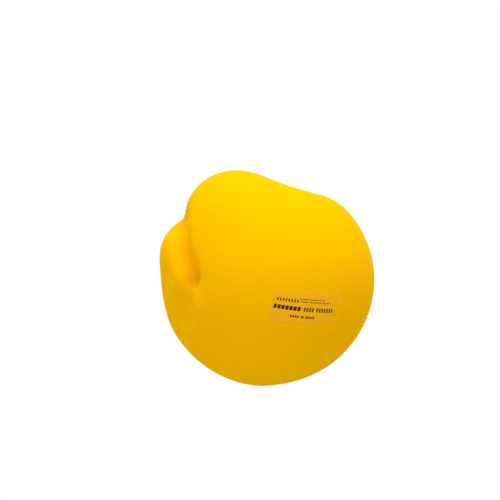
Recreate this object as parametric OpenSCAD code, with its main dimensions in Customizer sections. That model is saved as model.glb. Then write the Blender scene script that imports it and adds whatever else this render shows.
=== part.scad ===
// Soft inflatable handball, held squeezed: a thin dotted skin moulded in one piece, the valve
// sleeve bonded inside it, the plug that closes the valve, and a film with the print on it.
// Lengths are in millimetres and angles in degrees. The origin is the centre of the round ball,
// +Z is up, the print faces -Y and the valve's axis is +Y.
// A place on the ball is [round, front]. Round is counted anticlockwise from +X, seen from the
// front, and front is how far the place then turns toward the front, -Y.
// Each press is a smooth rise or dent of the skin along the arc between two places, and its half
// width is the distance from that arc at which the rise has fallen to a share of 1 / e.

/* [Ball] */
// Diameter of the ball before it is squeezed
ball_d = 160; // [130:1:200]
// Thickness of the moulded skin
skin_wall = 1.3; // [0.9:0.1:2.4]

/* [Groove in the left flank] */
// Depth of the groove at its upper end
groove_start_depth = 10; // [0:0.5:16]
// Depth of the groove at its lower end
groove_end_depth = 12.5; // [0:0.5:16]
// Half width of the groove
groove_half_w = 8; // [7:0.5:12]
// Place of the upper end
groove_start = [146, 18]; // [-180:0.5:180]
// Place of the lower end
groove_end = [177.5, 43.5]; // [-180:0.5:180]

/* [Mouth of the groove] */
// Depth of the wider dip from which the groove starts
mouth_depth = 6; // [0:0.5:10]
// Half width of the dip
mouth_half_w = 13; // [10:0.5:18]
// Place of the dip's back end
mouth_back = [139, -8]; // [-180:1:180]
// Place of its front end
mouth_front = [148, 8]; // [-180:1:180]

/* [Crease under the groove] */
// Depth of the crease where it leaves the groove
crease_start_depth = 5; // [0:0.5:6]
// Depth of the crease at its lower end
crease_end_depth = 2; // [0:0.5:4]
// Half width of the crease
crease_half_w = 5; // [4.5:0.5:10]
// Place where the crease leaves the groove
crease_start = [182, 42]; // [-180:0.5:200]
// Place of its lower end
crease_end = [210, 37]; // [-180:0.5:220]

/* [Tuck left of the crease] */
// Depth of the tuck
tuck_depth = 5; // [0:0.5:7]
// Half width of the tuck
tuck_half_w = 9; // [7:0.5:14]
// Place of the tuck's upper end
tuck_upper = [196, 34]; // [-180:0.5:200]
// Place of its lower end
tuck_lower = [205, 29]; // [-180:0.5:220]

/* [Ridge right of the crease] */
// Height of the ridge at its upper end
ridge_upper_height = 2.2; // [0:0.1:4]
// Height of the ridge at its lower end
ridge_lower_height = 1.6; // [0:0.1:4]
// Half width of the ridge
ridge_half_w = 7; // [5:0.5:12]
// Place of the ridge's upper end
ridge_upper = [201, 47]; // [-180:0.5:220]
// Place of its lower end
ridge_lower = [214, 41]; // [-180:0.5:220]

/* [Trough across the top] */
// Depth of the trough
trough_depth = 11; // [0:0.5:14]
// Half width of the trough
trough_half_w = 28; // [20:1:36]
// Place of the trough's front end
trough_front = [75, 4]; // [-180:1:180]
// Place of its back end
trough_back = [75, -40]; // [-180:1:180]

/* [Dents in the trough] */
// Depth of each dent at its shallow left end
dent_start_depth = 1.5; // [0:0.5:3]
// Depth of each dent at its right end
dent_end_depth = 4.5; // [0:0.5:6]
// Half width of a dent
dent_half_w = 8; // [6:0.5:12]
// Place of the front dent's left end
dent_start = [98, -2]; // [-180:1:180]
// Place of the front dent's right end
dent_end = [73.5, -1]; // [-180:0.5:180]
// How far each next dent lies behind the last
dent_pitch = 18; // [14:1:20]

/* [Hump between groove and trough] */
// Height of the hump
hump_height = 7.8; // [0:0.1:10]
// Half width of the hump
hump_half_w = 35; // [24:1:44]
// Place of the hump's back end
hump_back = [121, 4]; // [-180:1:180]
// Place of its front end
hump_front = [122, 26]; // [-180:1:180]

/* [Bulge left of the groove] */
// Height of the bulge
bulge_height = 3.8; // [0:0.1:6]
// Half width of the bulge
bulge_half_w = 17; // [12:1:24]
// Place of the bulge's back end
bulge_back = [160, -6]; // [-180:1:180]
// Place of its front end
bulge_front = [164, 14]; // [-180:1:180]

/* [Flat and belly] */
// Depth of the flat at the upper right
shoulder_flat_depth = 1.4; // [0:0.1:4]
// Half width of the flat at the upper right
shoulder_flat_half_w = 38; // [26:1:46]
// Place of its front end
shoulder_flat_front = [36, 0]; // [-180:1:180]
// Place of its back end
shoulder_flat_back = [32, -20]; // [-180:1:180]
// Height of the belly at the lower left
belly_height = 1.4; // [0:0.1:4]
// Half width of the belly
belly_half_w = 18; // [14:1:36]
// Place of the belly's right end
belly_right = [-98, 0]; // [-180:1:180]
// Place of its left end
belly_left = [-150, 0]; // [-180:1:180]

/* [Valve sleeve] */
// Diameter of the sleeve's tube
sleeve_d = 9; // [7:0.1:11]
// Length of the tube, inward from the floor of the recess
sleeve_length = 24; // [20:1:36]
// How far the flange reaches past the tube, all round
flange_reach = 5; // [3:0.5:8]
// Thickness of the flange
flange_t = 1.5; // [1:0.1:3]
// Diameter of the bore that takes the plug's stem
bore_d = 4; // [3.2:0.1:5]
// Diameter of the narrow channel at the inner end, which seals round a pump's needle
channel_d = 2.4; // [1.5:0.1:2.8]
// Length of the narrow channel
channel_length = 8; // [6:0.5:10]

/* [Valve plug] */
// How far the plug's head covers the skin past the tube, all round
head_cover = 2; // [1.5:0.1:4]
// Thickness of the head, which fills the depth of the recess
head_t = 1.6; // [1.2:0.1:2.4]
// Height of the bevel round the head's top and of the nail lip under its rim
head_bevel = 0.5; // [0.3:0.05:0.55]
// Gap between the head and the side of the recess
head_gap = 0.8; // [0.5:0.1:1.5]
// Radial clearance between the stem and the bore
stem_gap = 0.05; // [0.02:0.01:0.1]
// Free length between the stem's tip and the step at the bore's end
tip_gap = 0.8; // [0.4:0.1:1.5]
// Depth of the relief grooves round the stem
relief_depth = 0.25; // [0.1:0.05:0.4]
// Width of a relief groove
relief_w = 2; // [1:0.1:2.4]

/* [Print film] */
// Width of the film
film_w = 55; // [40:1:64]
// Height of the film
film_h = 26; // [20:1:36]
// Thickness of the film
film_t = 0.2; // [0.1:0.05:0.4]
// Radius of the film's corners
film_corner = 4; // [2:0.5:8]
// Gap of adhesive between the film and the skin
film_gap = 0.05; // [0.03:0.01:0.1]
// Place of the film's middle
film_place = [-38, 65]; // [-180:1:180]
// How far the film's right end dips
film_dip = 3; // [0:1:15]

/* [Hidden] */

skin_color = [1.0, 0.76, 0.02];
sleeve_color = [0.95, 0.68, 0.05];
plug_color = [0.94, 0.93, 0.88];
film_color = [0.93, 0.66, 0.06];

ball_r = ball_d / 2;
dent_count = 4;
relief_count = 3;
$fn = 64;

// The skin's grid, as angles from the valve's axis and as angles round it: fine where the
// presses are, closest at the groove, coarse elsewhere
fine_from = 52;
close_from = 96;
fine_to = 148;
close_step = 3.1;
fine_step = 4.9;
coarse_step = 8;
fine_round_from = 56;
close_round_from = 136;
close_round_to = 212;
fine_round_to = 228;
close_round_step = 3.5;
fine_round_step = 6.2;
coarse_round_step = 12;
probe = 0.5;

// Radii and heights round the valve
sleeve_r = sleeve_d / 2;
hole_r = sleeve_r + stem_gap;
flange_r = sleeve_r + flange_reach;
bore_r = bore_d / 2;
channel_r = channel_d / 2;
stem_r = bore_r - stem_gap;
head_r = sleeve_r + head_cover;
recess_r = head_r + head_gap;
recess_floor_r = recess_r - head_gap / 2;
rim_y = sqrt(pow(ball_r, 2) - pow(recess_r, 2));
floor_y = rim_y - head_t;
seat_r = flange_r + head_gap;
step_length = bore_r - channel_r;
bore_length = sleeve_length - channel_length - step_length;
stem_length = bore_length - tip_gap;
first_ring = asin((seat_r + head_cover) / (ball_r - skin_wall));

// The film's own frame: its middle, the way its lines run, and the way up across them
film_out = facing(film_place);
film_level = unit(cross([0, 0, 1], film_out));
film_rise = cross(film_out, film_level);
film_right = film_level * cos(film_dip) - film_rise * sin(film_dip);
film_up = film_rise * cos(film_dip) + film_level * sin(film_dip);
film_columns = 10;
film_rows = 6;
film_corner_steps = 4;

// Each press is [start, end, rise at the start, rise at the end, half width]
PRESSES = concat(
    [
        [facing(groove_start), facing(groove_end), -groove_start_depth, -groove_end_depth, groove_half_w],
        [facing(mouth_back), facing(mouth_front), -mouth_depth, -mouth_depth, mouth_half_w],
        [facing(crease_start), facing(crease_end), -crease_start_depth, -crease_end_depth,
            crease_half_w],
        [facing(tuck_upper), facing(tuck_lower), -tuck_depth, -tuck_depth, tuck_half_w],
        [facing(ridge_upper), facing(ridge_lower), ridge_upper_height, ridge_lower_height,
            ridge_half_w],
        [facing(trough_front), facing(trough_back), -trough_depth, -trough_depth, trough_half_w],
        [facing(hump_back), facing(hump_front), hump_height, hump_height, hump_half_w],
        [facing(bulge_back), facing(bulge_front), bulge_height, bulge_height, bulge_half_w],
        [facing(shoulder_flat_front), facing(shoulder_flat_back), -shoulder_flat_depth,
            -shoulder_flat_depth, shoulder_flat_half_w],
        [facing(belly_right), facing(belly_left), belly_height, belly_height, belly_half_w]
    ],
    [
        for (i = [0 : dent_count - 1])
            [facing(dent_start - [0, i * dent_pitch]), facing(dent_end - [0, i * dent_pitch]),
                -dent_start_depth, -dent_end_depth, dent_half_w]
    ]
);

function unit(v) = v / norm(v);
function clamp(x) = max(0, min(1, x));
function total(list) = list * [for (x = list) 1];
function reverse(list) = [for (i = [len(list) - 1 : -1 : 0]) list[i]];

// From one angle up to, and without, the next, in equal steps no longer than the one given
function steps(from, to, step) =
    let (count = ceil((to - from) / step))
    [for (i = [0 : count - 1]) from + (to - from) * i / count];

// The direction of a place, and the direction at an angle from the valve's axis and round it
function facing(place) =
    [cos(place[0]) * cos(place[1]), -sin(place[1]), sin(place[0]) * cos(place[1])];
function bearing(from_valve, round) =
    [sin(from_valve) * cos(round), cos(from_valve), sin(from_valve) * sin(round)];

// How far along its arc a press is nearest to a direction, and how much it lifts the skin there
function along(u, press) =
    let (arc = press[1] - press[0])
    clamp((u - press[0]) * arc / (arc * arc));
function lift(u, press) =
    let (t = along(u, press), nearest = unit(press[0] + t * (press[1] - press[0])))
    (press[2] + t * (press[3] - press[2])) * exp(-pow(ball_r * norm(u - nearest) / press[4], 2));

// The skin's outer surface: its distance from the centre, its points and its outward normals
function reach(u) = ball_r + total([for (press = PRESSES) lift(u, press)]);
function outer(from_valve, round) =
    let (u = bearing(from_valve, round))
    u * reach(u);
function outward(from_valve, round) =
    unit(cross(
        outer(from_valve, round + probe) - outer(from_valve, round - probe),
        outer(from_valve + probe, round) - outer(from_valve - probe, round)
    ));
function inner(from_valve, round) =
    outer(from_valve, round) - skin_wall * outward(from_valve, round);

RING_ANGLES = concat(
    steps(first_ring, fine_from, coarse_step),
    steps(fine_from, close_from, fine_step),
    steps(close_from, fine_to, close_step),
    steps(fine_to, 180, coarse_step)
);
ROUND_ANGLES = concat(
    steps(fine_round_from, close_round_from, fine_round_step),
    steps(close_round_from, close_round_to, close_round_step),
    steps(close_round_to, fine_round_to, fine_round_step),
    steps(fine_round_to, fine_round_from + 360, coarse_round_step)
);
SECTORS = len(ROUND_ANGLES);

function level_ring(r, y) = [for (round = ROUND_ANGLES) [r * cos(round), y, r * sin(round)]];

// Triangles between two rings of points that start at these numbers
function band(first, second) = [
    for (j = [0 : SECTORS - 1])
        let (k = (j + 1) % SECTORS)
        each [[first + j, first + k, second + k], [first + j, second + k, second + j]]
];

// The closed skin in one run of rings: from the front pole back over the outside to the valve's
// recess, through the hole, and over the inside to the front again
module skin() {
    rings = concat(
        [for (a = reverse(RING_ANGLES)) [for (round = ROUND_ANGLES) outer(a, round)]],
        [
            level_ring(recess_r, rim_y),
            level_ring(recess_floor_r, floor_y),
            level_ring(hole_r, floor_y),
            level_ring(hole_r, floor_y - skin_wall),
            level_ring(seat_r, floor_y - skin_wall)
        ],
        [for (a = RING_ANGLES) [for (round = ROUND_ANGLES) inner(a, round)]]
    );
    points = concat([outer(180, 0)], [for (ring = rings) each ring], [outer(180, 0) + [0, skin_wall, 0]]);
    last_ring = 1 + (len(rings) - 1) * SECTORS;
    faces = concat(
        [for (j = [0 : SECTORS - 1]) [0, 1 + (j + 1) % SECTORS, 1 + j]],
        [for (i = [0 : len(rings) - 2]) each band(1 + i * SECTORS, 1 + (i + 1) * SECTORS)],
        [for (j = [0 : SECTORS - 1]) [last_ring + j, last_ring + (j + 1) % SECTORS, len(points) - 1]]
    );
    color(skin_color)
        polyhedron(points, faces, convexity = 4);
}

// Turns a profile round the valve's axis, with its zero height at the floor of the recess
module turned_on_valve_axis() {
    translate([0, floor_y, 0])
        rotate([-90, 0, 0])
            rotate_extrude()
                children();
}

module valve_sleeve() {
    color(sleeve_color)
        turned_on_valve_axis()
            polygon([
                [bore_r, 0],
                [sleeve_r, 0],
                [sleeve_r, -skin_wall],
                [flange_r, -skin_wall],
                [flange_r, -skin_wall - flange_t],
                [sleeve_r, -skin_wall - flange_t],
                [sleeve_r, step_length - sleeve_length],
                [sleeve_r - step_length, -sleeve_length],
                [channel_r, -sleeve_length],
                [channel_r, channel_length - sleeve_length],
                [bore_r, -bore_length]
            ]);
}

// The relief grooves share the stem's length evenly
function relief(i) =
    let (top = -stem_length * (i + 0.5) / (relief_count + 0.5))
    [
        [stem_r, top],
        [stem_r - relief_depth, top - relief_depth],
        [stem_r - relief_depth, top - relief_w + relief_depth],
        [stem_r, top - relief_w]
    ];

module valve_plug() {
    color(plug_color)
        turned_on_valve_axis()
            polygon(concat(
                [
                    [0, head_t],
                    [head_r - head_bevel, head_t],
                    [head_r, head_t - head_bevel],
                    [head_r, head_bevel],
                    [head_r - head_bevel, 0],
                    [stem_r, 0]
                ],
                [for (i = [0 : relief_count - 1]) each relief(i)],
                [
                    [stem_r, head_bevel - stem_length],
                    [stem_r - head_bevel, -stem_length],
                    [0, -stem_length]
                ]
            ));
}

// A column of the film is [distance to the right, half height], and the corners are round
function film_corner_columns(side) = [
    for (i = [0 : film_corner_steps - 1])
        let (turn = 90 * (film_corner_steps - i) / film_corner_steps)
        [
            side * (film_w / 2 - film_corner * (1 - sin(turn))),
            film_h / 2 - film_corner * (1 - cos(turn))
        ]
];
FILM_COLUMNS = concat(
    film_corner_columns(-1),
    [
        for (i = [0 : film_columns])
            [(film_w / 2 - film_corner) * (2 * i / film_columns - 1), film_h / 2]
    ],
    reverse(film_corner_columns(1))
);

// A point of the film at a height over the skin
function film_point(right, up, over) =
    let (u = unit(film_out * ball_r + film_right * right + film_up * up))
    u * (reach(u) + over);

module print_film() {
    last = len(FILM_COLUMNS) - 1;
    column = film_rows + 1;
    sheet = column * (last + 1);
    points = [
        for (over = [film_gap, film_gap + film_t])
            for (c = FILM_COLUMNS)
                for (i = [0 : film_rows])
                    film_point(c[0], c[1] * (2 * i / film_rows - 1), over)
    ];
    cells = [for (c = [0 : last - 1]) for (i = [0 : film_rows - 1]) c * column + i];
    left_edge = [for (i = [film_rows : -1 : 0]) i];
    right_edge = [for (i = [0 : film_rows]) last * column + i];
    top_edge = [for (c = [last : -1 : 0]) c * column + film_rows];
    bottom_edge = [for (c = [0 : last]) c * column];
    faces = concat(
        [for (n = cells) each [[n, n + column, n + 1], [n + 1, n + column, n + column + 1]]],
        [
            for (n = cells)
                each [
                    [sheet + n, sheet + n + 1, sheet + n + column],
                    [sheet + n + 1, sheet + n + column + 1, sheet + n + column]
                ]
        ],
        [
            for (edge = [left_edge, bottom_edge, right_edge, top_edge])
                for (i = [0 : len(edge) - 2])
                    each [
                        [edge[i], sheet + edge[i], edge[i + 1]],
                        [edge[i + 1], sheet + edge[i], sheet + edge[i + 1]]
                    ]
        ]
    );
    color(film_color)
        polyhedron(points, faces, convexity = 2);
}

skin();
valve_sleeve();
valve_plug();
print_film();
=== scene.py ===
"""Builds the looks of a soft inflatable ball, held squeezed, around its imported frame.

The dotted skin, the print film with its marks and the valve plug are modelled here in
millimetres, in the frame's own axes, and are scaled to metres as the last step of each piece.
"""

import math

import bmesh
import bpy
import numpy as np
from mathutils import Matrix, Vector


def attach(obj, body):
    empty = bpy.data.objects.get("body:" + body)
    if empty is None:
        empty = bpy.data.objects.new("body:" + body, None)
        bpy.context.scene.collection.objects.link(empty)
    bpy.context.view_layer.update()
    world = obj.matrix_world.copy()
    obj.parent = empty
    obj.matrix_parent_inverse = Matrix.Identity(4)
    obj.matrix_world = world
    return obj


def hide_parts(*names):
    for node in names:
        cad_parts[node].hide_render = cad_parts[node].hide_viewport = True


bl_info = {
    "name": "Soft ball looks",
    "version": (1, 0, 0),
    "blender": (4, 5, 0),
    "location": "View3D > Sidebar > Soft ball",
    "description": "Builds the dotted skin, the print film, the valve and the stage of a soft ball",
    "category": "Mesh",
}

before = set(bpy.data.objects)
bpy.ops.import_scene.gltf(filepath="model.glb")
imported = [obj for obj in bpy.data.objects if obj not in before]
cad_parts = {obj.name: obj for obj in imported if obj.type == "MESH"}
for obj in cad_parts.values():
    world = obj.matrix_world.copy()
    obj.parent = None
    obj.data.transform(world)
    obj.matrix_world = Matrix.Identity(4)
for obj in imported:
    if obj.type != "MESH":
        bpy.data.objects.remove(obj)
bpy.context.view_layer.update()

# A millimetre in metres: the pieces are shaped in millimetres, while the properties and the stage
# are in metres
MM = 0.001

# Each press is a smooth rise or dent of the skin along the arc between two places: its start and
# end, its rise at the start and at the end, and its half width. A place is [round, front] in
# degrees: round is counted anticlockwise from +X, seen from the front, and front is how far the
# place then turns toward -Y. These are the sizes of the frame's solids.
DENT_PITCH = 18
DENT_COUNT = 4
PRESSES = {
    "groove": ((146, 18), (177.5, 43.5), -10, -12.5, 8),
    "mouth": ((139, -8), (148, 8), -6, -6, 13),
    "crease": ((182, 42), (210, 37), -5, -2, 5),
    "tuck": ((196, 34), (205, 29), -5, -5, 9),
    "ridge": ((201, 47), (214, 41), 2.2, 1.6, 7),
    "trough": ((75, 4), (75, -40), -11, -11, 28),
    "hump": ((121, 4), (122, 26), 7.8, 7.8, 35),
    "bulge": ((160, -6), (164, 14), 3.8, 3.8, 17),
    "shoulder_flat": ((36, 0), (32, -20), -1.4, -1.4, 38),
    "belly": ((-98, 0), (-150, 0), 1.4, 1.4, 18),
    **{
        f"dent_{i}": ((98, -2 - i * DENT_PITCH), (73.5, -1 - i * DENT_PITCH), -1.5, -4.5, 8)
        for i in range(DENT_COUNT)
    },
}

# The place of the film's middle, how far its right end dips, in degrees, and its gap over the skin
FILM_PLACE = (-38, 65)
FILM_DIP = 3
FILM_GAP = 0.05

# Cosines with the film's own direction: a direction can lie on the film above the first, and is
# flattened with no less than the second, because the flat film has no place for the ball's back
FILM_SIDE_COS = 0.3
LEAST_COS = 0.1

# The valve: its radii, the thickness of the plug's head, the stem with its relief grooves, and how
# far outside the seat the skin's inner side starts
HEAD_R = 6.5
HEAD_T = 1.6
RECESS_R = 7.3
RECESS_FLOOR_R = 6.9
HOLE_R = 4.55
SEAT_R = 10.3
STEM_R = 1.95
STEM_LENGTH = 14.4
RELIEF_COUNT = 3
RELIEF_DEPTH = 0.25
RELIEF_W = 2
SEAT_MARGIN = 2

# The top of the plug's head, from its middle out across its ring: radii, and depths
HEAD_TOP = (
    (0, 0.25),
    (0.5, 0.25),
    (0.7, 0.6),
    (1.5, 0.6),
    (2.0, 0.1),
    (3.8, 0.02),
    (4.0, 0.5),
    (4.9, 0.5),
    (5.1, 0.02),
)

# The plug's chamfers, how its corners past an angle are rounded, and how finely it is turned
PLUG_CHAMFER = 0.5
PLUG_ROUNDING = 0.07
ROUNDED_DEG = 28
TURN_STEPS = 72
MERGE_GAP = 0.001

# The bead round the valve, from the collar in: radii, and rises over the round ball. Then the
# rounded rim and foot of the recess's wall: steps out from its radius, and up.
BEAD = ((10.6, 0.04), (10.2, 0.22), (9.8, 0.28), (9.4, 0.22), (9.0, 0.04), (8.3, 0))
RECESS_RIM = ((0.2, 0), (0.05, -0.06), (-0.03, -0.25))
RECESS_FOOT = ((0.04, 0.15), (-0.12, 0))

# The skin is moulded smooth round the valve, out to this radius. Its smooth parts get this share
# of the painted shade of the hollows among the dots.
COLLAR_R = 11.5
SMOOTH_SHADE_SHARE = 0.6

# The dots rise to their full height between two distances outside the collar and outside the film
COLLAR_FADE = (0.8, 2.4)
FILM_FADE = (0.6, 2.2)

# How often the icospheres are divided: the outside's, with a corner to a dot, and the inside's
DOT_DIVISIONS = 6
INSIDE_DIVISIONS = 5

# The rows of dots wave: radians of wave over a radius of the ball, and their sway as a share of it
ROW_WAVE = 14
ROW_SWAY = 0.019

# An edge is shaded sharp past this angle
SHARP_DEG = 40


def linear(hex_colour):
    """Turns an sRGB hex value such as FCC200 into a linear colour."""
    shares = [int(hex_colour[i : i + 2], 16) / 255 for i in (0, 2, 4)]
    return tuple(c / 12.92 if c <= 0.04045 else ((c + 0.055) / 1.055) ** 2.4 for c in shares)


def facing(place):
    """The direction of a place on the ball."""
    turn, front = np.radians(place)
    return np.array([np.cos(turn) * np.cos(front), -np.sin(front), np.sin(turn) * np.cos(front)])


def unit(vectors):
    """Scales each vector to a length of 1."""
    return vectors / np.linalg.norm(vectors, axis=-1, keepdims=True)


def reach(directions, ball_r):
    """How far from the centre the squeezed skin lies in each direction."""
    total = np.full(len(directions), float(ball_r))
    for start, end, start_rise, end_rise, half_width in PRESSES.values():
        first = facing(start)
        arc = facing(end) - first
        along = np.clip((directions - first) @ arc / (arc @ arc), 0, 1)
        nearest = unit(first + along[:, None] * arc)
        away = ball_r * np.linalg.norm(directions - nearest, axis=1)
        total += (start_rise + along * (end_rise - start_rise)) * np.exp(-((away / half_width) ** 2))
    return total


def ball_height(ball_r, r):
    """How high the round ball stands at a radius from the valve's axis."""
    return math.sqrt(ball_r**2 - r**2)


class FilmFrame:
    """The film's middle, the way its rows run, and the way up across them."""

    def __init__(self):
        self.out = facing(FILM_PLACE)
        level = unit(np.cross([0, 0, 1], self.out))
        rise = np.cross(self.out, level)
        dip = math.radians(FILM_DIP)
        self.right = level * math.cos(dip) - rise * math.sin(dip)
        self.up = rise * math.cos(dip) + level * math.sin(dip)

    def points(self, flat, ball_r):
        """Wraps flat points (right, up, height over the skin) onto the ball."""
        ways = unit(self.out * ball_r + flat[:, :1] * self.right + flat[:, 1:2] * self.up)
        return ways * (reach(ways, ball_r) + flat[:, 2])[:, None]

    def flat(self, directions, ball_r):
        """Where directions on the film's side of the ball fall on the flat film."""
        ahead = np.maximum(directions @ self.out, LEAST_COS)
        return np.stack([directions @ self.right, directions @ self.up], axis=1) * (
            ball_r / ahead[:, None]
        )


def outside(flat, width, height, corner):
    """How far flat points lie outside a rectangle with round corners; it is negative inside."""
    over = np.abs(flat[:, :2]) - np.array([width / 2 - corner, height / 2 - corner])
    return np.linalg.norm(np.maximum(over, 0), axis=1) + np.minimum(over.max(axis=1), 0) - corner


def ease(x, start, end):
    """Rises smoothly from 0 at the start to 1 at the end."""
    t = np.clip((x - start) / (end - start), 0, 1)
    return t * t * (3 - 2 * t)


def points_of(verts):
    """The vertices' coordinates, a row to each."""
    return np.array([vert.co for vert in verts], dtype=float)


def move(verts, points):
    """Puts each vertex on its point."""
    for vert, point in zip(verts, points):
        vert.co = point


def finish_piece(bm, name, material, body):
    """Scales a finished mesh to metres, checks that it is closed, and rides it on its body."""
    bmesh.ops.scale(bm, vec=(MM, MM, MM), verts=bm.verts)
    bmesh.ops.recalc_face_normals(bm, faces=bm.faces)
    if not all(edge.is_manifold for edge in bm.edges):
        raise RuntimeError(f"{name} isn't closed")
    for face in bm.faces:
        face.smooth = True
    for edge in bm.edges:
        edge.smooth = edge.calc_face_angle() < math.radians(SHARP_DEG)
    mesh = bpy.data.meshes.new(name)
    bm.to_mesh(mesh)
    bm.free()
    mesh.materials.append(material)
    piece = bpy.data.objects.new(name, mesh)
    bpy.context.scene.collection.objects.link(piece)
    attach(piece, body)
    return piece


# Materials

# The parts of the mottle's noise that the tints and the gloss are spread over
TINT_SPREAD = (0.3, 0.7)
GLOSS_SPREAD = (0.25, 0.75)


def add_node(holder, kind, links=None, **settings):
    """Adds a node to a material or world; links gives each input a value or a socket."""
    tree = holder.node_tree
    node = tree.nodes.new(kind)
    for name, value in settings.items():
        setattr(node, name, value)
    for key, value in (links or {}).items():
        if isinstance(value, bpy.types.NodeSocket):
            tree.links.new(value, node.inputs[key])
        else:
            node.inputs[key].default_value = value
    return node


def plastic(name, tint, deep_tint, mottle_mm, grain_mm, rough, bump_mm, shader, gap_shade_tint=None):
    """A procedural plastic: two tints mottled over each other, an uneven gloss and a fine grain.

    The grain is drawn coarser than a real mould's, so that it shows. A painted shade is laid on
    the hollows among the dots, which an attribute of the mesh marks.
    """
    material = bpy.data.materials.new(name)
    material.use_nodes = True
    surface = material.node_tree.nodes["Principled BSDF"]
    spot = add_node(material, "ShaderNodeTexCoord").outputs["Object"]
    mottle = add_node(
        material,
        "ShaderNodeTexNoise",
        {"Vector": spot, "Scale": 1 / (mottle_mm * MM), "Detail": 3.0, "Roughness": 0.55},
    )
    share = add_node(
        material,
        "ShaderNodeMapRange",
        {
            "Value": mottle.outputs["Fac"],
            "From Min": TINT_SPREAD[0],
            "From Max": TINT_SPREAD[1],
        },
    ).outputs["Result"]
    blend = add_node(
        material,
        "ShaderNodeMix",
        {"Factor": share, "A": (*tint, 1), "B": (*deep_tint, 1)},
        data_type="RGBA",
    )
    if gap_shade_tint:
        gap = add_node(material, "ShaderNodeAttribute", attribute_name="dot_gap_shade").outputs["Fac"]
        # Squared, so that the painted shade gathers at the foot of the dots
        hollow = add_node(material, "ShaderNodeMath", {0: gap, 1: 2.0}, operation="POWER")
        blend = add_node(
            material,
            "ShaderNodeMix",
            {"Factor": hollow.outputs[0], "A": blend.outputs["Result"], "B": (*gap_shade_tint, 1)},
            data_type="RGBA",
        )
    grain = add_node(
        material,
        "ShaderNodeTexNoise",
        {"Vector": spot, "Scale": 1 / (grain_mm * MM), "Detail": 2.0, "Roughness": 0.6},
    )
    gloss = add_node(
        material,
        "ShaderNodeMapRange",
        {
            "Value": mottle.outputs["Fac"],
            "From Min": GLOSS_SPREAD[0],
            "From Max": GLOSS_SPREAD[1],
            "To Min": rough[0],
            "To Max": rough[1],
        },
    )
    bump = add_node(
        material,
        "ShaderNodeBump",
        {"Height": grain.outputs["Fac"], "Strength": 1.0, "Distance": bump_mm * MM},
    )
    tree = material.node_tree
    tree.links.new(blend.outputs["Result"], surface.inputs["Base Color"])
    tree.links.new(gloss.outputs["Result"], surface.inputs["Roughness"])
    tree.links.new(bump.outputs["Normal"], surface.inputs["Normal"])
    for key, value in shader.items():
        surface.inputs[key].default_value = value
    return material


def moulded_vinyl(look):
    """Soft PVC out of a satin mould: a deep warm yellow with next to no gloss.

    The hollows among the dots get painted shade, a deeper colour for the light that is caught
    between them.
    """
    return plastic(
        "moulded_soft_pvc",
        look.skin,
        look.skin_deep,
        mottle_mm=24,
        grain_mm=0.7,
        rough=(0.5, 0.62),
        bump_mm=0.012,
        shader={"IOR": 1.53, "Specular IOR Level": 0.001},
        gap_shade_tint=look.skin_gap_shade,
    )


def film_vinyl(look):
    """Printable vinyl film: smoother than the moulded skin and a little more orange."""
    return plastic(
        "printed_vinyl_film",
        look.film,
        look.film_deep,
        mottle_mm=16,
        grain_mm=0.5,
        rough=(0.42, 0.5),
        bump_mm=0.004,
        shader={"IOR": 1.5, "Specular IOR Level": 0.05},
    )


def screen_ink(look):
    """Screen-printing ink: a dense matt brown with the faint grain of the mesh it came through."""
    return plastic(
        "screen_printing_ink",
        look.ink,
        look.ink_deep,
        mottle_mm=5,
        grain_mm=0.3,
        rough=(0.55, 0.7),
        bump_mm=0.004,
        shader={"IOR": 1.5, "Specular IOR Level": 0.1},
    )


def bonded_vinyl(look):
    """Dipped PVC of the sleeve: the skin's colour, a little duller and darker."""
    return plastic(
        "dipped_pvc_sleeve",
        look.sleeve,
        look.skin_deep,
        mottle_mm=6,
        grain_mm=0.4,
        rough=(0.5, 0.62),
        bump_mm=0.006,
        shader={"IOR": 1.53, "Specular IOR Level": 0.25},
    )


def moulded_polythene(look):
    """Injection-moulded polythene of the plug: waxy off-white with light passing a little in."""
    return plastic(
        "moulded_polythene",
        look.plug,
        look.plug_deep,
        mottle_mm=4,
        grain_mm=0.35,
        rough=(0.34, 0.44),
        bump_mm=0.006,
        shader={
            "IOR": 1.52,
            "Specular IOR Level": 0.4,
            "Subsurface Weight": 0.15,
            "Subsurface Scale": 1 * MM,
            "Subsurface Radius": (1.0, 0.9, 0.75),
        },
    )


# Pieces


def ring_point(vert, r, y):
    """Sets a vertex on a circle round the valve's axis, at the angle where it is."""
    turn = math.atan2(vert.co.z, vert.co.x)
    vert.co = (r * math.cos(turn), y, r * math.sin(turn))


def all_geometry(verts):
    """The vertices with their edges and faces, each once."""
    edges = {edge for vert in verts for edge in vert.link_edges}
    faces = {face for vert in verts for face in vert.link_faces}
    return list(verts) + list(edges) + list(faces)


def cut_pole(bm, verts, r, y):
    """Cuts the end off a ball at a height on the valve's axis and rounds the rim to a radius."""
    cut = bmesh.ops.bisect_plane(
        bm, geom=all_geometry(verts), plane_co=(0, y, 0), plane_no=(0, 1, 0), clear_outer=True
    )["geom_cut"]
    rim = [part for part in cut if isinstance(part, bmesh.types.BMEdge)]
    for vert in {vert for edge in rim for vert in edge.verts}:
        ring_point(vert, r, y)
    return rim


def valve_profile(ball_r, wall):
    """The skin's radii and heights from its smooth collar down through the hole."""
    rim_y = ball_height(ball_r, RECESS_R)
    floor_y = rim_y - HEAD_T
    return [
        *((r, ball_height(ball_r, r) + rise) for r, rise in BEAD),
        *((RECESS_R + out, rim_y + up) for out, up in RECESS_RIM),
        *((RECESS_FLOOR_R + out, floor_y + up) for out, up in RECESS_FOOT),
        (HOLE_R, floor_y),
        (HOLE_R, floor_y - wall),
        (SEAT_R, floor_y - wall),
    ]


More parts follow.
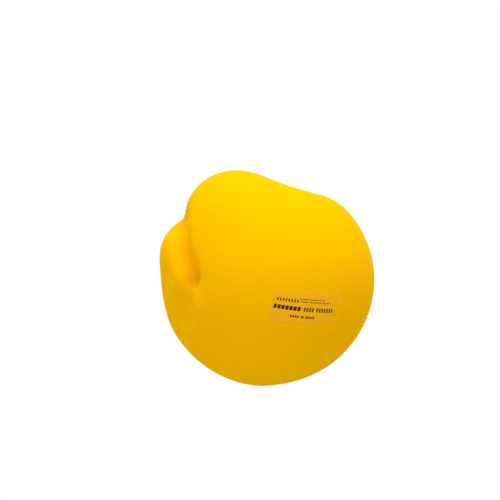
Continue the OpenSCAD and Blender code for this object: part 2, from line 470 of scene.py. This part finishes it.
def wander(directions):
    """Bends the rows of dots a little, as the mould's own rows wave."""
    # Three waves, askew to each other and out of step, so that the rows bend without repeating
    x, y, z = (directions * ROW_WAVE).T
    drift = np.stack([np.sin(z + 0.6 * y), np.sin(x + 1.3), np.sin(y - 0.8 * x + 2.1)], axis=1)
    return unit(directions + ROW_SWAY * drift)


def film_size(sizes):
    """The film's width, height and corner radius."""
    return sizes.film_width / MM, sizes.film_height / MM, sizes.film_corner / MM


def dotted_skin(sizes):
    """The closed skin: dots outside, a smooth collar and recess at the valve, a plain inside."""
    ball_r = sizes.ball_diameter / MM / 2
    wall = sizes.skin_wall / MM
    bm = bmesh.new()

    # One corner of a fine icosphere for each dot: cutting the corners off gives every dot its
    # round foot, and the middle of the foot is then its tip
    turn = Matrix.Rotation(math.radians(sizes.row_turn), 4, "Y")
    bmesh.ops.create_icosphere(bm, subdivisions=DOT_DIVISIONS, radius=1, matrix=turn)
    feet = bmesh.ops.bevel(
        bm,
        geom=bm.verts[:],
        offset=sizes.dot_diameter / MM / 2 / ball_r,
        offset_type="OFFSET",
        affect="VERTICES",
        segments=1,
        profile=0.5,
        material=-1,
    )["faces"]
    bmesh.ops.poke(bm, faces=feet)
    # An attribute of 0 at each dot's tip and 1 round its foot: it picks the tips to raise, and it
    # marks where the painted shade of the hollows goes
    gap = bm.verts.layers.float.new("dot_gap_shade")
    for vert in bm.verts:
        is_tip = len(vert.link_edges) > 3 and all(len(face.verts) == 3 for face in vert.link_faces)
        vert[gap] = 0 if is_tip else 1
    move(bm.verts, wander(unit(points_of(bm.verts))) * ball_r)
    rim = cut_pole(bm, bm.verts[:], COLLAR_R, ball_height(ball_r, COLLAR_R))

    # The squeezed form, then the dots on it, except on the film's patch and at the collar
    ways = unit(points_of(bm.verts))
    move(bm.verts, ways * reach(ways, ball_r)[:, None])
    bm.normal_update()
    patch = FilmFrame()
    beside = outside(patch.flat(ways, ball_r), *film_size(sizes))
    from_valve = np.where(
        ways[:, 1] > 0, ball_r * np.linalg.norm(ways[:, [0, 2]], axis=1), ball_r
    )
    shares = ease(from_valve, COLLAR_R + COLLAR_FADE[0], COLLAR_R + COLLAR_FADE[1])
    shares *= np.where(ways @ patch.out > FILM_SIDE_COS, ease(beside, *FILM_FADE), 1)
    # The dots rise by their shares, and the painted shade of the hollows fades with them to the
    # smooth parts' share
    for vert, share in zip(bm.verts, shares):
        if not vert[gap]:
            vert.co += vert.normal * share * sizes.dot_height / MM
        vert[gap] = SMOOTH_SHADE_SHARE + share * (vert[gap] - SMOOTH_SHADE_SHARE)

    for r, y in valve_profile(ball_r, wall):
        grown = bmesh.ops.extrude_edge_only(bm, edges=rim)["geom"]
        for vert in grown:
            if isinstance(vert, bmesh.types.BMVert):
                ring_point(vert, r, y)
        rim = [edge for edge in grown if isinstance(edge, bmesh.types.BMEdge) and edge.is_boundary]

    # The inside follows the outside a wall's thickness in
    inside = bmesh.ops.create_icosphere(bm, subdivisions=INSIDE_DIVISIONS, radius=ball_r)["verts"]
    ways = unit(points_of(inside))
    move(inside, ways * reach(ways, ball_r)[:, None])
    bm.normal_update()
    for vert in inside:
        vert.co -= vert.normal * wall
    inner_r = SEAT_R + SEAT_MARGIN
    inner_rim = cut_pole(bm, inside, inner_r, ball_height(ball_r - wall, inner_r))
    bmesh.ops.bridge_loops(bm, edges=rim + inner_rim)
    return bm


# A sheet's grid, the steps round its corners, and the share of its thickness left at its outline
SHEET_PITCH = 2
CORNER_STEPS = 6
SHEET_RIM = 0.25


def rounded_sheet(width, height, corner, edge):
    """A flat sheet with round corners, cut into a grid, with a bottom at 0 and a top at 1."""
    bm = bmesh.new()
    bmesh.ops.create_grid(bm, x_segments=1, y_segments=1, size=0.5)
    bmesh.ops.scale(bm, vec=(width, height, 1), verts=bm.verts)
    bmesh.ops.bevel(
        bm,
        geom=bm.verts[:],
        offset=corner,
        offset_type="OFFSET",
        affect="VERTICES",
        segments=CORNER_STEPS,
        profile=0.5,
        material=-1,
    )
    for _ in range(2):
        middle = max(bm.faces, key=lambda face: face.calc_area())
        bmesh.ops.inset_region(bm, faces=[middle], thickness=edge / 2, use_even_offset=True)
    for axis, span in ((Vector((1, 0, 0)), width), (Vector((0, 1, 0)), height)):
        count = math.ceil(span / SHEET_PITCH)
        for i in range(1, count):
            bmesh.ops.bisect_plane(
                bm,
                geom=bm.verts[:] + bm.edges[:] + bm.faces[:],
                plane_co=axis * (span * (i / count - 0.5)),
                plane_no=axis,
            )
    top = bmesh.ops.extrude_face_region(bm, geom=bm.faces[:], use_keep_orig=True)["geom"]
    bmesh.ops.translate(
        bm, vec=(0, 0, 1), verts=[part for part in top if isinstance(part, bmesh.types.BMVert)]
    )
    return bm


def lay_on_ball(bm, ball_r, size, middle, over, thickness, edge, dip=0):
    """Bends a flat sheet onto the ball, with its top eased down toward its outline.

    The sheet's middle is given in the film's frame, turned so that its right end dips.
    """
    verts = bm.verts[:]
    flat = points_of(verts)
    inside = -outside(flat, *size)
    top = thickness * (SHEET_RIM + (1 - SHEET_RIM) * ease(inside, 0, edge))
    flat[:, 2] = over + flat[:, 2] * top
    turn = Matrix.Rotation(-math.radians(dip), 2)
    flat[:, :2] = (flat[:, :2] + middle) @ np.array(turn).T
    move(verts, FilmFrame().points(flat, ball_r))


def film_sheet(sizes):
    """The print film, thin and close on the skin, with its edge eased down all round."""
    size = film_size(sizes)
    edge = sizes.film_edge / MM
    bm = rounded_sheet(*size, edge)
    lay_on_ball(
        bm, sizes.ball_diameter / MM / 2, size, (0, 0), FILM_GAP, sizes.film_thickness / MM, edge
    )
    return bm


# The print is runs of plain blocks that spell nothing: where a run starts from the film's middle,
# how high it lies, how tall its blocks are, how wide each is, the gap between them, and how many
# there are
PRINT_RUNS = (
    (-23.2, 4.7, 2.3, 1.1, 1.1, 8),
    (-5.5, 6.5, 0.9, 0.8, 0.45, 6),
    (2.7, 6.5, 0.9, 0.8, 0.45, 5),
    (9.7, 6.5, 0.9, 0.8, 0.45, 4),
    (-5.2, 4.6, 0.9, 0.8, 0.45, 5),
    (1.8, 4.6, 0.9, 0.8, 0.45, 8),
    (12.6, 4.6, 0.9, 0.8, 0.45, 5),
    (-24.9, -0.9, 3.3, 2.5, 0.55, 7),
    (-1.7, -0.9, 3.2, 1.25, 0.95, 4),
    (8.3, -0.9, 3.2, 1.25, 0.95, 7),
    (-11.0, -6.8, 1.7, 1.3, 0.5, 4),
    (-2.6, -6.8, 1.9, 1.9, 0.5, 1),
    (1.0, -6.8, 1.7, 1.3, 0.5, 4),
)

# How far the rows' right end dips on the film, in degrees, the ink's thickness, and a block's
# corner radius and eased edge as shares of its shorter side
PRINT_DIP = 2.5
INK_T = 0.03
BLOCK_CORNER = 0.3
BLOCK_EDGE = 0.12


def print_marks(sizes):
    """The blocks of ink on the film."""
    ball_r = sizes.ball_diameter / MM / 2
    over = FILM_GAP + sizes.film_thickness / MM
    bm = bmesh.new()
    for start, up, tall, wide, gap, count in PRINT_RUNS:
        size = (wide, tall, min(wide, tall) * BLOCK_CORNER)
        edge = min(wide, tall) * BLOCK_EDGE
        for i in range(count):
            block = rounded_sheet(*size, edge)
            middle = (start + i * (wide + gap) + wide / 2, up)
            lay_on_ball(block, ball_r, size, middle, over, INK_T, edge, PRINT_DIP)
            mesh = bpy.data.meshes.new("block")
            block.to_mesh(mesh)
            block.free()
            bm.from_mesh(mesh)
            bpy.data.meshes.remove(mesh)
    return bm


def turned(profile):
    """Turns a profile of radii and heights round the valve's axis into a closed solid."""
    bm = bmesh.new()
    verts = [bm.verts.new((r, y, 0)) for r, y in profile]
    edges = [bm.edges.new(pair) for pair in zip(verts, verts[1:])]
    bmesh.ops.spin(
        bm,
        geom=verts + edges,
        cent=(0, 0, 0),
        axis=(0, 1, 0),
        angle=2 * math.pi,
        steps=TURN_STEPS,
        use_merge=True,
    )
    bmesh.ops.remove_doubles(bm, verts=bm.verts, dist=MERGE_GAP)
    return bm


def plug_solid(sizes):
    """The plug: a head with a moulded ring and dimple, and a stem with its relief grooves."""
    ball_r = sizes.ball_diameter / MM / 2
    floor_y = ball_height(ball_r, RECESS_R) - HEAD_T
    stem = []
    for i in range(RELIEF_COUNT):
        top = -STEM_LENGTH * (i + 0.5) / (RELIEF_COUNT + 0.5)
        stem += [
            (STEM_R, top),
            (STEM_R - RELIEF_DEPTH, top - RELIEF_DEPTH),
            (STEM_R - RELIEF_DEPTH, top - RELIEF_W + RELIEF_DEPTH),
            (STEM_R, top - RELIEF_W),
        ]
    profile = [
        *((r, HEAD_T - depth) for r, depth in HEAD_TOP),
        (HEAD_R - PLUG_CHAMFER, HEAD_T),
        (HEAD_R, HEAD_T - PLUG_CHAMFER),
        (HEAD_R, PLUG_CHAMFER),
        (HEAD_R - PLUG_CHAMFER, 0),
        (STEM_R, 0),
        *stem,
        (STEM_R, PLUG_CHAMFER - STEM_LENGTH),
        (STEM_R - PLUG_CHAMFER, -STEM_LENGTH),
        (0, -STEM_LENGTH),
    ]
    bm = turned([(r, floor_y + h) for r, h in profile])
    corners = [edge for edge in bm.edges if edge.calc_face_angle() > math.radians(ROUNDED_DEG)]
    bmesh.ops.bevel(
        bm,
        geom=corners,
        offset=PLUG_ROUNDING,
        offset_type="OFFSET",
        affect="EDGES",
        segments=2,
        profile=0.5,
        material=-1,
    )
    return bm


# Properties, operators and panel


def length(name, description, default):
    """A length property in metres."""
    return bpy.props.FloatProperty(
        name=name,
        description=description,
        default=default,
        precision=5,
        subtype="DISTANCE",
        unit="LENGTH",
    )


def colour(name, description, hex_colour):
    """A colour property with a linear default."""
    return bpy.props.FloatVectorProperty(
        name=name,
        description=description,
        default=linear(hex_colour),
        min=0,
        max=1,
        subtype="COLOR",
    )


class BallSizes(bpy.types.PropertyGroup):
    """Sizes of the ball's pieces"""

    ball_diameter: length("Ball diameter", "Diameter of the ball before it is squeezed", 0.16)
    skin_wall: length("Skin wall", "Thickness of the moulded skin", 0.0013)
    dot_diameter: length("Dot diameter", "Diameter of a moulded dot at its foot", 0.0025)
    dot_height: length("Dot height", "Height of a moulded dot over the skin", 0.0003)
    row_turn: bpy.props.FloatProperty(
        name="Row turn",
        description="How far the pattern of dots is turned round the valve's axis, in degrees",
        default=14,
    )
    film_width: length("Film width", "Width of the print film", 0.055)
    film_height: length("Film height", "Height of the print film", 0.026)
    film_corner: length("Film corner", "Radius of the print film's corners", 0.004)
    film_thickness: length("Film thickness", "Thickness of the print film", 0.0002)
    film_edge: length("Film edge", "Width of the eased edge round the print film", 0.0012)


class BallColours(bpy.types.PropertyGroup):
    """Colours of the ball's finishes"""

    skin: colour("Skin", "The skin's own yellow", "FCC200")
    skin_deep: colour("Skin, deep", "The skin where its pigment lies thicker", "FABE00")
    # Painted shade: the hollows among the dots are painted this darker yellow
    skin_gap_shade: colour("Skin, hollows", "The skin in the hollows among the dots", "F7B700")
    film: colour("Film", "The print film", "F9B40F")
    film_deep: colour("Film, deep", "The print film where it is a little darker", "F7AF0D")
    ink: colour("Ink", "The print's ink", "4C2B04")
    ink_deep: colour("Ink, deep", "The ink where it lies thicker", "402302")
    sleeve: colour("Sleeve", "The valve's sleeve", "EDAF08")
    plug: colour("Plug", "The valve's plug", "F7F5EC")
    plug_deep: colour("Plug, deep", "The plug along its flow marks", "F1EEE0")


class BALL_OT_skin(bpy.types.Operator):
    """Builds the dotted skin with the smooth patch for the film and the recess for the valve"""

    bl_idname = "soft_ball.skin"
    bl_label = "Dotted skin"

    def execute(self, context):
        scene = context.scene
        skin = finish_piece(
            dotted_skin(scene.ball_sizes),
            "dotted_skin",
            moulded_vinyl(scene.ball_colours),
            "ball",
        )
        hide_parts("skin")
        return {"FINISHED"}


class BALL_OT_print(bpy.types.Operator):
    """Builds the print film and the plain blocks printed on it"""

    bl_idname = "soft_ball.print"
    bl_label = "Print film"

    def execute(self, context):
        sizes, look = context.scene.ball_sizes, context.scene.ball_colours
        film = finish_piece(film_sheet(sizes), "film_sheet", film_vinyl(look), "ball")
        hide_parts("print_film")
        finish_piece(print_marks(sizes), "print_marks", screen_ink(look), "ball")
        return {"FINISHED"}


class BALL_OT_valve(bpy.types.Operator):
    """Builds the valve's plug and gives the sleeve its finish"""

    bl_idname = "soft_ball.valve"
    bl_label = "Valve"

    def execute(self, context):
        sizes, look = context.scene.ball_sizes, context.scene.ball_colours
        plug = finish_piece(
            plug_solid(sizes), "plug_moulding", moulded_polythene(look), "plug"
        )
        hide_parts("valve_plug")
        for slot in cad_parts["valve_sleeve"].material_slots:
            slot.material = bonded_vinyl(look)
        return {"FINISHED"}


# The camera stands level in front, far enough for the photograph's flat perspective. The width
# that it sees at the ball is the photograph's own, and its sensor is 36 mm wide.
CAMERA_AT = (-0.0136, -1.5, 0.0211)
SEEN_WIDTH = 0.3768
SENSOR_WIDTH = 36

# The floor's height, size and paper, and the share of white that the camera sees on it
FLOOR_Z = -1.25
FLOOR_R = 8
FLOOR_SIDES = 96
PAPER_GREY = 0.7
PAPER_ROUGHNESS = 0.6
WHITE_SHARE = 0.9

# How strongly the surround lights the ball, where a strength of 1 is white
SURROUND_STRENGTH = 0.7


class BALL_OT_stage(bpy.types.Operator):
    """Builds the floor, the lamps, the world and the camera"""

    bl_idname = "soft_ball.stage"
    bl_label = "Stage"

    def execute(self, context):
        scene = context.scene
        scene.view_settings.view_transform = "Standard"
        add_floor(scene)
        add_world(scene)
        add_lamps(scene)
        add_camera(scene)
        return {"FINISHED"}


def background_ray(holder):
    """1 for a ray from the camera, off a gloss or through glass, and 0 for any other."""
    path = add_node(holder, "ShaderNodeLightPath")
    seen = add_node(
        holder,
        "ShaderNodeMath",
        {0: path.outputs["Is Camera Ray"], 1: path.outputs["Is Glossy Ray"]},
        operation="MAXIMUM",
    )
    return add_node(
        holder,
        "ShaderNodeMath",
        {0: seen.outputs["Value"], 1: path.outputs["Is Transmission Ray"]},
        operation="MAXIMUM",
    ).outputs["Value"]


def add_world(scene):
    """An even pale surround that lights from all sides and is seen as white."""
    world = bpy.data.worlds.new("studio_surround")
    scene.world = world
    world.use_nodes = True
    world.node_tree.nodes.clear()
    white = (1, 1, 1, 1)
    light = add_node(
        world, "ShaderNodeBackground", {"Color": white, "Strength": SURROUND_STRENGTH}
    )
    seen = add_node(world, "ShaderNodeBackground", {"Color": white, "Strength": 1.0})
    mix = add_node(
        world,
        "ShaderNodeMixShader",
        {0: background_ray(world), 1: light.outputs[0], 2: seen.outputs[0]},
    )
    add_node(world, "ShaderNodeOutputWorld", {"Surface": mix.outputs[0]})


def add_floor(scene):
    """A pale floor far below, because the ball is held up in the air."""
    bm = bmesh.new()
    bmesh.ops.create_circle(bm, cap_ends=True, segments=FLOOR_SIDES, radius=FLOOR_R)
    bmesh.ops.translate(bm, vec=(0, 0, FLOOR_Z), verts=bm.verts)
    mesh = bpy.data.meshes.new("floor")
    bm.to_mesh(mesh)
    bm.free()
    material = bpy.data.materials.new("white_paper_floor")
    material.use_nodes = True
    material.node_tree.nodes.clear()
    paper = add_node(
        material,
        "ShaderNodeBsdfDiffuse",
        {"Color": (PAPER_GREY, PAPER_GREY, PAPER_GREY, 1), "Roughness": PAPER_ROUGHNESS},
    )
    white = add_node(material, "ShaderNodeEmission", {"Color": (1, 1, 1, 1), "Strength": 1.0})
    # The camera sees mostly plain white. The rest is the paper as the lamps light it, so that the
    # ball's shadow on it still shows.
    lift = add_node(
        material,
        "ShaderNodeMath",
        {0: background_ray(material), 1: WHITE_SHARE},
        operation="MULTIPLY",
    )
    mix = add_node(
        material,
        "ShaderNodeMixShader",
        {0: lift.outputs[0], 1: paper.outputs[0], 2: white.outputs[0]},
    )
    add_node(material, "ShaderNodeOutputMaterial", {"Surface": mix.outputs[0]})
    mesh.materials.append(material)
    floor = bpy.data.objects.new("floor", mesh)
    scene.collection.objects.link(floor)


# Each lamp's place, the side of its square and its power: a large softbox overhead, a weak panel
# low on each side that opens up the underside, and a pair behind for the side with the valve
LAMPS = {
    "overhead_softbox": ((0.1, -0.4, 1.32), 1.1, 15.8),
    "left_fill_panel": ((-1.1, -0.85, -0.55), 0.9, 4),
    "right_fill_panel": ((1.1, -0.9, -0.3), 0.9, 2.6),
    "back_left_panel": ((-0.85, 1.3, 0.3), 0.9, 3),
    "back_right_panel": ((0.85, 1.3, 0.3), 0.9, 3),
}


def add_lamps(scene):
    """The lamps, each turned to the ball."""
    for name, (place, side, power) in LAMPS.items():
        lamp = bpy.data.lights.new(name, "AREA")
        lamp.shape = "SQUARE"
        lamp.size = side
        lamp.energy = power
        panel = bpy.data.objects.new(name, lamp)
        panel.location = place
        panel.rotation_euler = (-Vector(place)).to_track_quat("-Z", "Y").to_euler()
        scene.collection.objects.link(panel)


def add_camera(scene):
    """The camera at the photograph's height and angle."""
    data = bpy.data.cameras.new("camera")
    data.sensor_width = SENSOR_WIDTH
    data.lens = data.sensor_width * -CAMERA_AT[1] / SEEN_WIDTH
    camera = bpy.data.objects.new("camera", data)
    camera.location = CAMERA_AT
    camera.rotation_euler = (math.pi / 2, 0, 0)
    scene.collection.objects.link(camera)
    scene.camera = camera


class BALL_PT_looks(bpy.types.Panel):
    """Lists the steps that build the ball"""

    bl_idname = "BALL_PT_looks"
    bl_label = "Soft ball"
    bl_space_type = "VIEW_3D"
    bl_region_type = "UI"
    bl_category = "Soft ball"

    def draw(self, context):
        for group in (context.scene.ball_sizes, context.scene.ball_colours):
            box = self.layout.box()
            for name in group.bl_rna.properties.keys():
                if name not in ("rna_type", "name"):
                    box.prop(group, name)
        for step in STEPS:
            self.layout.operator(step.bl_idname)


STEPS = (BALL_OT_skin, BALL_OT_print, BALL_OT_valve, BALL_OT_stage)
CLASSES = (BallSizes, BallColours, *STEPS, BALL_PT_looks)


def register():
    for item in CLASSES:
        bpy.utils.register_class(item)
    bpy.types.Scene.ball_sizes = bpy.props.PointerProperty(type=BallSizes)
    bpy.types.Scene.ball_colours = bpy.props.PointerProperty(type=BallColours)


def unregister():
    del bpy.types.Scene.ball_colours
    del bpy.types.Scene.ball_sizes
    for item in reversed(CLASSES):
        bpy.utils.unregister_class(item)


def main():
    """Builds every piece and the stage."""
    register()
    bpy.ops.soft_ball.skin()
    bpy.ops.soft_ball.print()
    bpy.ops.soft_ball.valve()
    bpy.ops.soft_ball.stage()


if __name__ == "__main__":
    main()
